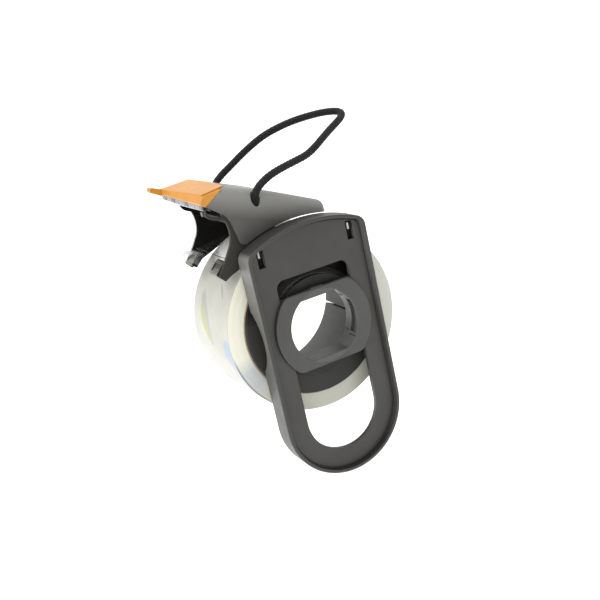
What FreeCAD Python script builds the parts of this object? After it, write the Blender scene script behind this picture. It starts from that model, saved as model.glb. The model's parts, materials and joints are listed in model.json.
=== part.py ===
"""Hand-held tape dispenser with an elastic hand loop.

A moulded side plate carries a head (frame, hood, orange nose, blade) and a quick-change hub.
The hub's double-D flange bears on the front of the plate's long slot, slides along the slot to
suit the roll, and turns a quarter to come out.  The drum that holds the tape spins on the hub.

Frame: millimetres, +Z up, -X towards the cutting edge, +Y from the plate towards the roll.
The origin is on the hub's axis, in the plane of the roll's near face.
"""
import FreeCAD, Part
import math
import os

import Sketcher
from FreeCAD import Placement, Rotation, Vector

doc = FreeCAD.newDocument("tape_dispenser")

# --------------------------------------------------------------------------- driving dimensions

SIZES = [
    # The roll and its core: 48 mm tape on a three-inch core.
    ("roll_radius", 48.2),
    ("roll_width", 48.0),
    ("core_outer", 39.4),
    ("core_inner", 38.1),
    # The side plate.  Distances called front or rear are measured forward from the roll's face.
    ("plate_half", 33.6),
    ("plate_top_radius", 75.0),
    ("plate_top_x", 2.0),
    ("plate_top_z", -20.0),
    ("plate_corner", 6.0),
    ("plate_low_z", -48.8),
    ("rim_front", 14.5),
    ("rim_wall", 1.8),
    ("skirt_wall", 2.2),
    ("skirt_rear", 1.95),
    ("panel_front", 11.4),
    ("panel_rear", 8.8),
    ("groove_wide", 0.8),
    ("groove_deep", 0.7),
    ("relief_radius", 19.6),
    ("relief_offset", 9.0),
    # The slot in the plate and the two windows for the snap hooks.
    ("slot_half", 20.7),
    ("slot_top", 29.3),
    ("slot_corner", 4.5),
    ("window_x", 25.4),
    ("window_z", 43.0),
    ("window_wide", 3.8),
    ("window_tall", 9.6),
    # The hub.
    ("flange_radius", 27.4),
    ("flange_flat", 20.5),
    ("flange_front", 13.4),
    ("flange_rear", 11.5),
    ("neck_radius", 20.6),
    ("ring_front", 8.7),
    ("ring_rear", 7.6),
    ("collar_radius", 25.8),
    ("collar_front", 7.5),
    ("collar_rear", 6.3),
    ("sleeve_radius", 22.0),
    ("sleeve_rear", 1.7),
    ("catch_radius", 23.4),
    ("catch_rear", 0.4),
    ("bore_radius", 19.0),
    ("bore_flat", 16.0),
    ("grip_front", 12.4),
    ("grip_deep", 0.9),
    ("grip_long", 5.6),
    ("slit_wide", 1.0),
    ("flange_corner", 5.0),
    # The drum.
    ("drum_outer", 38.05),
    ("drum_inner", 36.0),
    ("drum_flange", 38.8),
    ("drum_bore", 22.08),
    ("drum_front", 3.9),
    ("drum_end", 54.5),
    ("finger_length", 25.5),
    ("finger_gap", 1.1),
    ("drum_wall", 2.0),
    # The head.
    ("head_near", -1.0),
    ("head_far", 52.2),
    ("flank", 1.7),
    ("roof", 2.0),
    ("web", 1.9),
    ("seam", 0.25),
    ("table_inset", 2.6),
    ("recess_gap", 0.15),
    ("lip_wide", 6.0),
    ("hood_shoulder", 4.5),
    ("guide_near", 1.6),
    ("lobe_wide", 16.2),
    ("tab_reach", 10.0),
    ("tab_gap", 0.15),
    ("blade_thick", 0.5),
    ("tooth_pitch", 1.6),
    ("tooth_depth", 1.3),
    ("screw_radius", 1.25),
    # The elastic loop.
    ("cord_radius", 2.0),
    ("cord_hole_radius", 2.45),
    ("cord_hole_x", -16.7),
    ("cord_hole_z", 71.0),
    ("cord_hole_lean", 30.0),
    ("cord_inside", 8.5),
    ("ferrule_radius", 2.9),
    ("ferrule_length", 5.5),
]

sheet = doc.addObject("Spreadsheet::Sheet", "sizes")
for row, (alias, value) in enumerate(SIZES, start=1):
    sheet.set("A%d" % row, alias)
    sheet.set("B%d" % row, str(value))
    sheet.setAlias("B%d" % row, alias)
doc.recompute()


def size(alias):
    """One driving dimension, read back from the sheet."""
    return float(sheet.get(alias))


# ------------------------------------------------------------------------------ modelling helpers

NODES = []


def new_body(name):
    """A PartDesign body that becomes one node of the assembly."""
    body = doc.addObject("PartDesign::Body", name)
    body.Label = name
    NODES.append(body)
    return body


def origin_plane(body, role):
    return [item for item in body.Origin.OriginFeatures if item.Role == role][0]


def new_sketch(body, role, offset, curves):
    """A sketch on one of the body's own planes; offset is an expression along its normal.

    On XZ_Plane the normal points to -Y, so the distances called front and rear are offsets.
    """
    sketch = body.newObject("Sketcher::SketchObject", body.Name + "_sketch")
    sketch.AttachmentSupport = (origin_plane(body, role), [""])
    sketch.MapMode = "FlatFace"
    sketch.setExpression(".AttachmentOffset.Base.z", offset)
    sketch.addGeometry(curves, False)
    return sketch


def new_round(body, role, offset, radius, place=(0.0, 0.0)):
    """A sketch of one circle whose radius follows an expression."""
    circle = Part.Circle(Vector(place[0], place[1], 0), Vector(0, 0, 1), 1.0)
    sketch = new_sketch(body, role, offset, [circle])
    if place == (0.0, 0.0):
        sketch.addConstraint(Sketcher.Constraint("Coincident", 0, 3, -1, 1))
    else:
        sketch.addConstraint(Sketcher.Constraint("DistanceX", 0, 3, place[0]))
        sketch.addConstraint(Sketcher.Constraint("DistanceY", 0, 3, place[1]))
    index = sketch.addConstraint(Sketcher.Constraint("Radius", 0, 1.0))
    sketch.setExpression("Constraints[%d]" % index, radius)
    return sketch


def pad(body, sketch, length, reverse=False):
    """Adds material along the sketch's normal, or against it."""
    feature = body.newObject("PartDesign::Pad", body.Name + "_pad")
    feature.Profile = sketch
    feature.Reversed = reverse
    feature.setExpression("Length", length)
    doc.recompute()
    return feature


def pocket(body, sketch, length, along=False, both=False):
    """Cuts against the sketch's normal, along it, or both ways; it has to remove something."""
    before = body.Shape.Volume
    feature = body.newObject("PartDesign::Pocket", body.Name + "_pocket")
    feature.Profile = sketch
    feature.Reversed = along
    feature.Midplane = both
    feature.setExpression("Length", length)
    doc.recompute()
    if body.Shape.Volume > before - 0.01:
        raise ValueError(feature.Label + " cuts nothing from " + body.Label)
    return feature


def fillet(body, base, radius, chosen):
    """Rounds the edges of the last feature that the test picks."""
    names = ["Edge%d" % i for i, edge in enumerate(base.Shape.Edges, start=1) if chosen(edge)]
    feature = body.newObject("PartDesign::Fillet", body.Name + "_fillet")
    feature.Base = (base, names)
    feature.Radius = radius
    doc.recompute()
    return feature


def loft(body, kind, near_y, near_points, far_y, far_points):
    """Joins two outlines of the side view, at two distances from the origin plane."""
    near = new_sketch(body, "XZ_Plane", "-(%s)" % near_y, polygon(near_points))
    far = new_sketch(body, "XZ_Plane", "-(%s)" % far_y, polygon(far_points))
    feature = body.newObject("PartDesign::" + kind, body.Name + "_loft")
    feature.Profile = near
    feature.Sections = [far]
    feature.Ruled = True
    doc.recompute()
    return feature


def line(a, b):
    return Part.LineSegment(Vector(a[0], a[1], 0), Vector(b[0], b[1], 0))


def arc(a, middle, b):
    return Part.Arc(Vector(a[0], a[1], 0), Vector(middle[0], middle[1], 0), Vector(b[0], b[1], 0))


def polygon(points):
    return [line(a, b) for a, b in zip(points, points[1:] + points[:1])]


def rectangle(x_low, y_low, x_high, y_high):
    return polygon([(x_low, y_low), (x_high, y_low), (x_high, y_high), (x_low, y_high)])


def rounded_chain(corners):
    """Lines through (x, z, radius) corners, each rounded to its radius; the ends stay sharp."""
    curves = []
    spot = corners[0][:2]
    for before, here, after in zip(corners, corners[1:], corners[2:]):
        corner = Vector(here[0], here[1], 0)
        back = Vector(before[0], before[1], 0) - corner
        ahead = Vector(after[0], after[1], 0) - corner
        if here[2] == 0:
            curves.append(line(spot, here[:2]))
            spot = here[:2]
            continue
        half_angle = back.getAngle(ahead) / 2
        back.normalize()
        ahead.normalize()
        inward = (back + ahead).normalize()
        reach = here[2] / math.tan(half_angle)
        start = corner + back * reach
        end = corner + ahead * reach
        middle = corner + inward * (here[2] / math.sin(half_angle) - here[2])
        curves.append(line(spot, (start.x, start.y)))
        curves.append(arc((start.x, start.y), (middle.x, middle.y), (end.x, end.y)))
        spot = (end.x, end.y)
    curves.append(line(spot, corners[-1][:2]))
    return curves


def on_circle(radius, degrees, centre=(0.0, 0.0)):
    angle = math.radians(degrees)
    return (centre[0] + radius * math.cos(angle), centre[1] + radius * math.sin(angle))


def ring_piece(inner, outer, start, end, centre=(0.0, 0.0)):
    """A piece of a ring between two angles."""
    middle = (start + end) / 2
    outer_start, outer_middle, outer_end = [on_circle(outer, angle, centre) for angle in (start, middle, end)]
    inner_start, inner_middle, inner_end = [on_circle(inner, angle, centre) for angle in (start, middle, end)]
    return [
        arc(outer_start, outer_middle, outer_end),
        line(outer_end, inner_end),
        arc(inner_end, inner_middle, inner_start),
        line(inner_start, outer_start),
    ]


def double_d(radius, flat):
    """A circle cut by two level flats, above and below its centre."""
    x = math.sqrt(radius ** 2 - flat ** 2)
    return [
        line((-x, flat), (x, flat)),
        arc((x, flat), (radius, 0), (x, -flat)),
        line((x, -flat), (-x, -flat)),
        arc((-x, -flat), (-radius, 0), (-x, flat)),
    ]


def plate_outline(inset):
    """The side plate's outline: round foot, straight sides, crowned top with rounded corners."""
    half = size("plate_half") - inset
    crown = size("plate_top_radius") - inset
    corner = max(size("plate_corner") - inset, 0.5)
    centre = (size("plate_top_x"), size("plate_top_z"))
    low = size("plate_low_z")

    def top_corner(side):
        x = side * (half - corner)
        z = centre[1] + math.sqrt((crown - corner) ** 2 - (x - centre[0]) ** 2)
        lean = math.degrees(math.atan2(z - centre[1], x - centre[0]))
        start = 0.0 if side > 0 else 180.0
        middle = on_circle(corner, (start + lean) / 2, (x, z))
        return (side * half, z), middle, on_circle(crown, lean, centre)

    right_side, right_middle, right_top = top_corner(1)
    left_side, left_middle, left_top = top_corner(-1)
    crest = (centre[0], centre[1] + crown)
    return [
        line((half, low), right_side),
        arc(right_side, right_middle, right_top),
        arc(right_top, crest, left_top),
        arc(left_top, left_middle, left_side),
        line(left_side, (-half, low)),
        arc((-half, low), (0, low - half), (half, low)),
    ]


def slot_outline():
    half = size("slot_half")
    top = size("slot_top")
    corner = size("slot_corner")
    low = size("plate_low_z")
    right = (half - corner, top - corner)
    left = (-half + corner, top - corner)
    return [
        line((half, low), (half, top - corner)),
        arc((half, top - corner), on_circle(corner, 45, right), (half - corner, top)),
        line((half - corner, top), (-half + corner, top)),
        arc((-half + corner, top), on_circle(corner, 135, left), (-half, top - corner)),
        line((-half, top - corner), (-half, low)),
        arc((-half, low), (0, low - half), (half, low)),
    ]


def window_outlines(shrink, lift):
    """The two upright windows, or the sections of the snap hooks in their upper halves."""
    wide = size("window_wide") / 2 - shrink
    tall = size("window_tall") / 2 - shrink
    z = size("window_z")
    curves = []
    for x in (-size("window_x"), size("window_x")):
        curves += rectangle(x - wide, z - tall + lift, x + wide, z + tall)
    return curves


# ------------------------------------------------------------------------------------- side plate

def make_side_plate():
    body = new_body("side_plate")
    outline = new_sketch(body, "XZ_Plane", "sizes.skirt_rear", plate_outline(0))
    pad(body, outline, "sizes.rim_front - sizes.skirt_rear")
    tray = new_sketch(body, "XZ_Plane", "sizes.skirt_rear", plate_outline(size("skirt_wall")))
    pocket(body, tray, "sizes.panel_rear - sizes.skirt_rear", along=True)
    face = new_sketch(body, "XZ_Plane", "sizes.rim_front", plate_outline(size("rim_wall")))
    pocket(body, face, "sizes.rim_front - sizes.panel_front")
    groove_outer = plate_outline(size("rim_wall"))
    groove_inner = plate_outline(size("rim_wall") + size("groove_wide"))
    groove = new_sketch(body, "XZ_Plane", "sizes.panel_front", groove_outer + groove_inner)
    pocket(body, groove, "sizes.groove_deep")
    slot = new_sketch(body, "XZ_Plane", "sizes.rim_front", slot_outline())
    pocket(body, slot, "sizes.rim_front")
    windows = new_sketch(body, "XZ_Plane", "sizes.rim_front", window_outlines(0, 0))
    pocket(body, windows, "sizes.rim_front")
    relief = new_round(body, "YZ_Plane", "0", "sizes.relief_radius", (size("relief_offset"), 0.0))
    last = pocket(body, relief, "4 * sizes.plate_half", both=True)

    def outer_front_edge(edge):
        box = edge.BoundBox
        on_front = abs(box.YMin + size("rim_front")) < 0.01 and abs(box.YMax + size("rim_front")) < 0.01
        reach = max(abs(box.XMin), abs(box.XMax))
        is_side = reach > size("plate_half") - 0.01
        is_top = box.ZMax > size("plate_top_z") + size("plate_top_radius") - 0.01
        return on_front and (is_side or is_top)

    fillet(body, last, 0.7, outer_front_edge)


# ------------------------------------------------------------------------------- head: the frame

SEAT_TOP = (-35.6, 75.4)
SEAT_LEAN = 35.0
SEAT_LONG = 6.1
SEAT_THICK = 2.6
SHELF_ENDS = (67.0, 113.0)
TONGUE_HALF = 27.8
TONGUE_LOW = 36.5


def along_seat(forward, up):
    """A point of the side view, measured from the blade seat's top end along and above it."""
    lean = math.radians(SEAT_LEAN)
    x = SEAT_TOP[0] - forward * math.cos(lean) - up * math.sin(lean)
    z = SEAT_TOP[1] - forward * math.sin(lean) + up * math.cos(lean)
    return (x, z)


def seat_placement():
    """Local X along the cutting edge, local Y forward down the seat, local Z off the seat."""
    lean = math.radians(SEAT_LEAN)
    across = Vector(0, 1, 0)
    forward = Vector(-math.cos(lean), 0, -math.sin(lean))
    up = Vector(-math.sin(lean), 0, math.cos(lean))
    return Placement(Vector(SEAT_TOP[0], 0, SEAT_TOP[1]), Rotation(across, forward, up, "XYZ"))


NEAR_BROW = ((-43.2, 72.0), (-43.2, 68.6), (-41.2, 66.4), (-38.0, 65.0))
FAR_BROW = ((-39.2, 74.89), (-39.2, 68.0), (-38.2, 66.3), (-36.6, 65.0))


def arm_outline(brow):
    """Side view of an arm: brow under the nose, waist, foot, and the wall behind them."""
    brow_top, brow_tip, brow_chin, brow_end = brow
    return [
        line(brow_top, brow_tip),
        arc(brow_tip, brow_chin, brow_end),
        line(brow_end, (-34.2, 63.9)),
        arc((-34.2, 63.9), (-33.1, 57.4), (-34.7, 50.9)),
        line((-34.7, 50.9), (-38.5, 45.0)),
        line((-38.5, 45.0), (-44.1, 37.7)),
        line((-44.1, 37.7), (-41.2, 34.6)),
        line((-41.2, 34.6), (-37.6, 36.6)),
        line((-37.6, 36.6), (-30.0, 39.3)),
        line((-30.0, 39.3), (-19.0, 43.6)),
        line((-19.0, 43.6), (-9.0, 43.6)),
        line((-9.0, 43.6), (-9.0, 57.0)),
        line((-9.0, 57.0), (-22.5, 57.0)),
        line((-22.5, 57.0), (-24.0, 74.0)),
        line((-24.0, 74.0), (-31.0, 77.2)),
        line((-31.0, 77.2), (-36.0, 77.2)),
        line((-36.0, 77.2), brow_top),
    ]


def make_head_frame():
    """Both arms, the blade seat between them, and the tongue that hooks into the plate."""
    body = new_body("head_frame")
    near = "-(sizes.head_near + sizes.flank + 0.1)"
    far = "-(sizes.head_far - sizes.flank - 0.1 - sizes.web)"
    pad(body, new_sketch(body, "XZ_Plane", near, arm_outline(NEAR_BROW)), "sizes.web", reverse=True)
    clear = new_round(body, "XZ_Plane", near, "sizes.roll_radius + 1")
    pocket(body, clear, "2 * sizes.web", both=True)
    seat = polygon([
        along_seat(0, 0), along_seat(SEAT_LONG, 0),
        along_seat(SEAT_LONG, -SEAT_THICK), along_seat(0, -SEAT_THICK),
    ])
    between = "sizes.head_far - sizes.head_near - 2 * sizes.flank - 0.2"
    pad(body, new_sketch(body, "XZ_Plane", near, seat), between, reverse=True)
    tie = rectangle(-29.5, 60.0, -24.5, 62.4)
    pad(body, new_sketch(body, "XZ_Plane", near, tie), between, reverse=True)
    pad(body, new_sketch(body, "XZ_Plane", far, arm_outline(FAR_BROW)), "sizes.web", reverse=True)

    brow = [
        (-42.3, 71.2), (-42.3, 69.0), (-40.4, 67.5), (-37.4, 66.3),
        (-35.2, 65.7), (-35.2, 70.6), (-39.4, 72.6),
    ]
    pocket(body, new_sketch(body, "XZ_Plane", near, polygon(brow)), "sizes.web")

    crown = (size("plate_top_x"), size("plate_top_z"))
    outer = size("plate_top_radius") - size("skirt_wall") - 0.15
    shelf = ring_piece(outer - 2.0, outer, SHELF_ENDS[0], SHELF_ENDS[1], crown)
    shelf_rear = "-(sizes.head_near + sizes.flank + 0.1 + sizes.web)"
    pad(body, new_sketch(body, "XZ_Plane", shelf_rear, shelf), "sizes.panel_rear + sizes.web + 0.7")
    right = on_circle(outer, SHELF_ENDS[0], crown)
    left = on_circle(outer, SHELF_ENDS[1], crown)
    tongue = [
        arc(right, on_circle(outer, 90, crown), left),
        line(left, (-TONGUE_HALF, TONGUE_LOW)),
        line((-TONGUE_HALF, TONGUE_LOW), (TONGUE_HALF, TONGUE_LOW)),
        line((TONGUE_HALF, TONGUE_LOW), right),
    ]
    pad(body, new_sketch(body, "XZ_Plane", "sizes.panel_rear - 1.7", tongue), "1.6")
    hooks = window_outlines(0.7, size("window_tall") / 2)
    hook_base = new_sketch(body, "XZ_Plane", "sizes.panel_rear - 0.2", hooks)
    pad(body, hook_base, "sizes.panel_front - sizes.panel_rear + 0.6")


# -------------------------------------------------------------------------- head: hood and nose

ROOF_FRONT = (-31.0, 80.55)
ROOF_CREST = (-5.0, 70.4)
ROOF_BACK = (20.4, 58.8)
BOUNDARY_LOW = (-42.7, 73.3)


def crown_point(x, gap):
    """A point above the plate's crowned top."""
    radius = size("plate_top_radius") + gap
    return (x, size("plate_top_z") + math.sqrt(radius ** 2 - (x - size("plate_top_x")) ** 2))


def make_hood():
    body = new_body("hood")
    seam = size("seam")
    back_low = crown_point(20.6, seam)
    front_low = crown_point(-25.0, seam)
    roof_line = rounded_chain([
        BOUNDARY_LOW + (0,), ROOF_FRONT + (0,), ROOF_CREST + (90,), ROOF_BACK + (5,), back_low + (0,),
    ])
    flank_line = rounded_chain([
        front_low + (0,), crown_point(-29.0, seam) + (3,), (-32.2, 63.4, 10), (-34.4, 67.0, 3),
        BOUNDARY_LOW + (0,),
    ])
    seam_line = [arc(back_low, crown_point(-4.0, seam), front_low)]
    shell = pad(body, new_sketch(body, "XZ_Plane", "-sizes.head_near", roof_line + seam_line + flank_line),
                "sizes.head_far - sizes.head_near", reverse=True)

    def roof_edge(edge):
        box = edge.BoundBox
        on_side = min(abs(box.YMin - size("head_near")), abs(box.YMax - size("head_far"))) < 0.01
        is_flat = box.YLength < 0.01
        return on_side and is_flat and box.XMin > ROOF_FRONT[0] - 0.1 and box.ZMin > ROOF_BACK[1]

    fillet(body, shell, size("hood_shoulder"), roof_edge)
    roof = size("roof")
    ceiling = rounded_chain([
        (-50.0, 60.0, 0), (-50.0, ROOF_FRONT[1] - roof, 0), (ROOF_FRONT[0] - 1.0, ROOF_FRONT[1] - roof, 3),
        (ROOF_CREST[0] - 0.9, ROOF_CREST[1] - roof, 88), (ROOF_BACK[0] - 1.6, ROOF_BACK[1] - roof, 3),
        (ROOF_BACK[0] - 1.2, 52.0, 0), (-20.0, 44.0, 0), (-50.0, 60.0, 0),
    ])
    inside = new_sketch(body, "XZ_Plane", "-(sizes.head_near + sizes.flank)", ceiling)
    pocket(body, inside, "sizes.head_far - sizes.head_near - 2 * sizes.flank")
    near_recess = [(-33.0, 79.6), (-31.4, 81.2), (-30.45, 80.9), (-30.8, 79.95)]
    far_recess = [(-33.0, 79.3), (-31.4, 81.4), (-19.85, 76.9), (-20.05, 75.2)]
    loft(body, "SubtractiveLoft", "sizes.head_near + sizes.table_inset - sizes.recess_gap", near_recess,
         "sizes.head_far - sizes.table_inset + sizes.recess_gap", far_recess)
    for side in (-1, 1):
        hole = new_round(body, "XY_Plane", "0", "sizes.cord_hole_radius")
        hole.setExpression(".AttachmentOffset.Base.z", None)
        hole.AttachmentOffset = Placement(cord_exit(side, 5.0), Rotation(Vector(0, 0, 1), cord_way(side)))
        pocket(body, hole, "sizes.cord_inside + 6")


def cord_way(side):
    """The way the cord leaves the hood at the near (-1) or far (+1) shoulder."""
    lean = math.radians(size("cord_hole_lean"))
    return Vector(0, side * math.sin(lean), math.cos(lean))


def cord_exit(side, outward):
    """A point on the cord's straight end, measured outward from the shoulder."""
    y = size("head_near") + 0.2 if side < 0 else size("head_far") - 0.2
    return Vector(size("cord_hole_x"), y, size("cord_hole_z")) + cord_way(side) * outward


def make_nose_cap():
    """The orange cap over the blade.

    Its brim and table run further forward at the far end, and a wing lies in a recess of the hood.
    """
    body = new_body("nose_cap")
    low = (BOUNDARY_LOW[0] - 0.15, BOUNDARY_LOW[1])
    rear = (-32.89, 79.52)
    near_shell = [low, (-44.4, 74.1), (-45.1, 75.3), (-42.9, 78.4), rear]
    far_shell = [low, (-47.5, 76.8), (-48.5, 77.7), (-48.4, 79.1), rear]
    loft(body, "AdditiveLoft", "sizes.head_near", near_shell, "sizes.head_far", far_shell)
    table_rear = [(-31.2, 80.7), (-33.3, 79.3)]
    near_table = [(-42.9, 78.1), (-42.3, 79.2)] + table_rear
    far_table = [(-48.2, 78.9), (-47.8, 79.9)] + table_rear
    loft(body, "AdditiveLoft", "sizes.head_near + sizes.table_inset", near_table,
         "sizes.head_far - sizes.table_inset", far_table)
    near_hollow = [(-43.0, 71.5), (-44.3, 72.2), (-44.4, 74.8), (-42.3, 77.3), (-33.4, 78.6), (-30.0, 78.0)]
    far_hollow = [(-43.0, 71.5), (-46.7, 74.0), (-47.6, 77.1), (-47.2, 77.9), (-33.4, 78.6), (-30.0, 78.0)]
    loft(body, "SubtractiveLoft", "sizes.head_near + sizes.flank", near_hollow,
         "sizes.head_far - sizes.flank", far_hollow)
    near_wing = [(-33.6, 79.9), (-31.4, 80.72), (-30.6, 80.6), (-30.9, 80.1)]
    far_wing = [(-33.6, 79.7), (-31.4, 80.85), (-20.0, 76.45), (-20.2, 75.35)]
    loft(body, "AdditiveLoft", "sizes.head_near + sizes.table_inset", near_wing,
         "sizes.head_far - sizes.table_inset", far_wing)
    lip = [
        line((-48.3, 76.6), (-52.4, 79.1)),
        arc((-52.4, 79.1), (-53.8, 80.8), (-52.2, 81.9)),
        line((-52.2, 81.9), (-47.2, 79.8)),
        line((-47.2, 79.8), (-48.3, 76.6)),
    ]
    lip_base = new_sketch(body, "XZ_Plane", "-(sizes.head_far - sizes.lip_wide)", lip)
    pad(body, lip_base, "sizes.lip_wide", reverse=True)


# ---------------------------------------------------------------------- head: blade and its parts

SCREW_SPOTS = (12.0, 25.6, 39.2)
SCREW_FORWARD = 2.6


def screw_holes(radius):
    return [Part.Circle(Vector(x, SCREW_FORWARD, 0), Vector(0, 0, 1), radius) for x in SCREW_SPOTS]


def make_blade():
    """A steel strip with teeth along its front edge."""
    body = new_body("blade")
    start = 3.1
    end = 48.1
    front = 8.4
    strip = rectangle(start, 0.5, end, front) + screw_holes(size("screw_radius") + 0.1)
    pad(body, new_sketch(body, "XY_Plane", "0", strip), "sizes.blade_thick")
    pitch = size("tooth_pitch")
    depth = size("tooth_depth")
    notch = polygon([(start, front + 0.1), (start + pitch, front + 0.1), (start + pitch / 2, front - depth)])
    cut = pocket(body, new_sketch(body, "XY_Plane", "0", notch), "sizes.blade_thick", along=True)
    teeth = body.newObject("PartDesign::LinearPattern", "blade_teeth")
    teeth.Originals = [cut]
    teeth.Direction = (origin_plane(body, "X_Axis"), [""])
    count = int((end - start) / pitch)
    teeth.Length = pitch * (count - 1)
    teeth.Occurrences = count
    body.Tip = teeth
    body.Placement = seat_placement()


def make_blade_clamp():
    """The bar that presses the blade on its seat."""
    body = new_body("blade_clamp")
    bar = rectangle(3.6, 0.4, 47.6, 4.9) + screw_holes(size("screw_radius") + 0.1)
    base = pad(body, new_sketch(body, "XY_Plane", "sizes.blade_thick", bar), "1.4")

    def long_top_edge(edge):
        box = edge.BoundBox
        return box.XLength > 40 and box.ZMin > size("blade_thick") + 1.0

    fillet(body, base, 0.5, long_top_edge)
    body.Placement = seat_placement()


def make_blade_screws():
    """Three screws through clamp and blade; the seat's holes are cut to suit."""
    shapes = []
    seat = seat_placement()
    for x in SCREW_SPOTS:
        foot = seat.multVec(Vector(x, SCREW_FORWARD, -1.9))
        up = seat.Rotation.multVec(Vector(0, 0, 1))
        shank = Part.makeCylinder(size("screw_radius"), 3.9, foot, up)
        head_foot = seat.multVec(Vector(x, SCREW_FORWARD, size("blade_thick") + 1.4))
        head = Part.makeCone(2.3, 1.7, 1.1, head_foot, up)
        slot_corner = Vector(x - 2.3, SCREW_FORWARD - 0.3, size("blade_thick") + 2.1)
        slot_box = Part.makeBox(4.6, 0.6, 0.6, slot_corner)
        slot_box.Placement = seat.multiply(slot_box.Placement)
        shapes.append(shank.fuse(head).removeSplitter().cut(slot_box))
    screws = doc.addObject("Part::Feature", "blade_screws")
    screws.Label = "blade_screws"
    screws.Shape = Part.makeCompound(shapes)
    screws.Placement = Placement()
    NODES.append(screws)


def make_seat_holes():
    """Drills the blade seat for the screws, along the seat's normal."""
    body = doc.getObject("head_frame")
    sketch = body.newObject("Sketcher::SketchObject", "seat_hole_sketch")
    sketch.AttachmentSupport = (origin_plane(body, "XY_Plane"), [""])
    sketch.MapMode = "FlatFace"
    sketch.AttachmentOffset = seat_placement()
    sketch.addGeometry(screw_holes(size("screw_radius") + 0.05), False)
    pocket(body, sketch, "2")


def make_film_guide():
    """The clear film guide that hangs under the brim in three scalloped lobes."""
    body = new_body("film_guide")
    near = size("guide_near")
    lobe = size("lobe_wide")
    near_strip = [(-43.9, 74.6), (-44.2, 71.8), (-43.5, 71.7), (-43.2, 74.6)]
    far_strip = [(-46.8, 77.0), (-47.2, 74.2), (-46.5, 74.1), (-46.1, 77.0)]
    loft(body, "AdditiveLoft", "sizes.guide_near", near_strip,
         "sizes.guide_near + 3 * sizes.lobe_wide", far_strip)
    notches = []
    for index in range(1, 3):
        middle = near + index * lobe
        low = 71.4 + 0.78 * index
        notches += polygon([
            (middle - 1.6, low - 1.6), (middle + 2.4, low - 1.6), (middle + 0.9, low + 0.8),
            (middle - 0.1, low + 3.0), (middle - 0.6, low + 3.0), (middle - 0.6, low + 0.9),
        ])
    pocket(body, new_sketch(body, "YZ_Plane", "0", notches), "4 * sizes.roll_radius", both=True)


def make_tab(name, start, length_sign):
    """A tab on an arm's foot that the tape's free end rests on."""
    body = new_body(name)
    outline = [
        line((-36.4, 41.2), (-37.4, 43.3)),
        arc((-37.4, 43.3), (-38.8, 43.8), (-40.1, 43.1)),
        line((-40.1, 43.1), (-43.9, 39.4)),
        arc((-43.9, 39.4), (-44.5, 38.5), (-44.0, 37.8)),
        line((-44.0, 37.8), (-41.8, 36.3)),
        line((-41.8, 36.3), (-36.4, 41.2)),
    ]
    base = pad(body, new_sketch(body, "XZ_Plane", start, outline), "sizes.tab_reach", reverse=length_sign > 0)

    def end_edge(edge):
        box = edge.BoundBox
        middle = (size("head_near") + size("head_far")) / 2
        inner_end = min(abs(box.YMin - middle), abs(box.YMax - middle)) < middle - size("tab_reach")
        return box.YLength < 0.01 and inner_end

    last = fillet(body, base, 0.45, end_edge)
    recess = polygon([(-41.16, 43.47), (-39.97, 42.25), (-42.91, 39.39), (-44.1, 40.6)])
    border = 0.9
    offset = "%s - %g" % (start, border * length_sign)
    length = "sizes.tab_reach - %g" % (2 * border)
    pocket(body, new_sketch(body, "XZ_Plane", offset, recess), length, along=length_sign < 0)


# --------------------------------------------------------------------------- hub and its fittings

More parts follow.
